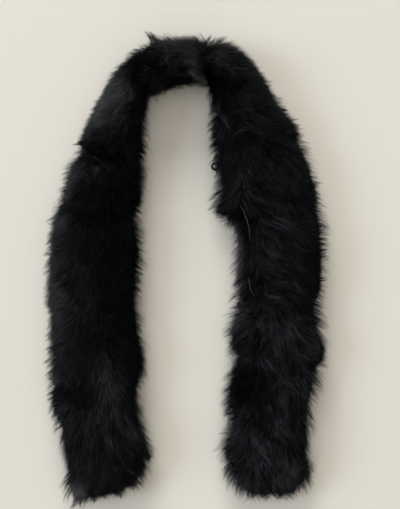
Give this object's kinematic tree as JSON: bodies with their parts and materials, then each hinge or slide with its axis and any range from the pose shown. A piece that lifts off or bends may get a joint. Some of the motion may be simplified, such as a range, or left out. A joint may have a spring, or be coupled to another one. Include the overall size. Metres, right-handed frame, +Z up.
{
  "type": "fur collar wrap",
  "caption": "Black rabbit-fur collar wrap laid flat in an upside-down U, a double-sided band of sewn pelts with a wire hook and eyes.",
  "frame": {"origin": "middle of the underside that rests on the surface, midway between the arms", "axes": "+Z up from the surface, +Y along the arms towards the neck, +X towards the arm with the eyes"},
  "size_m": [0.276, 0.459, 0.056],
  "materials": {
    "fur": "dyed black rabbit fur with a soft blue-grey sheen",
    "hide": "smooth dyed hide with a short nap",
    "wire": "black lacquered wire"
  },
  "bodies": {
    "root": {"upper_left_end": "fur", "upper_left_front": "fur", "upper_left_chest": "fur", "upper_left_shoulder": "fur", "upper_neck": "fur", "upper_right_shoulder": "fur", "upper_right_chest": "fur", "upper_right_front": "fur", "upper_right_waist": "fur", "upper_right_end": "fur", "under_left_end": "fur", "under_left_front": "fur", "under_left_chest": "fur", "under_left_shoulder": "fur", "under_neck": "fur", "under_right_shoulder": "fur", "under_right_chest": "fur", "under_right_front": "fur", "under_right_waist": "fur", "under_right_end": "fur", "neck_tuck": "hide", "hook": "wire", "eye_high": "wire", "eye_low": "wire"}
  },
  "joints": []
}
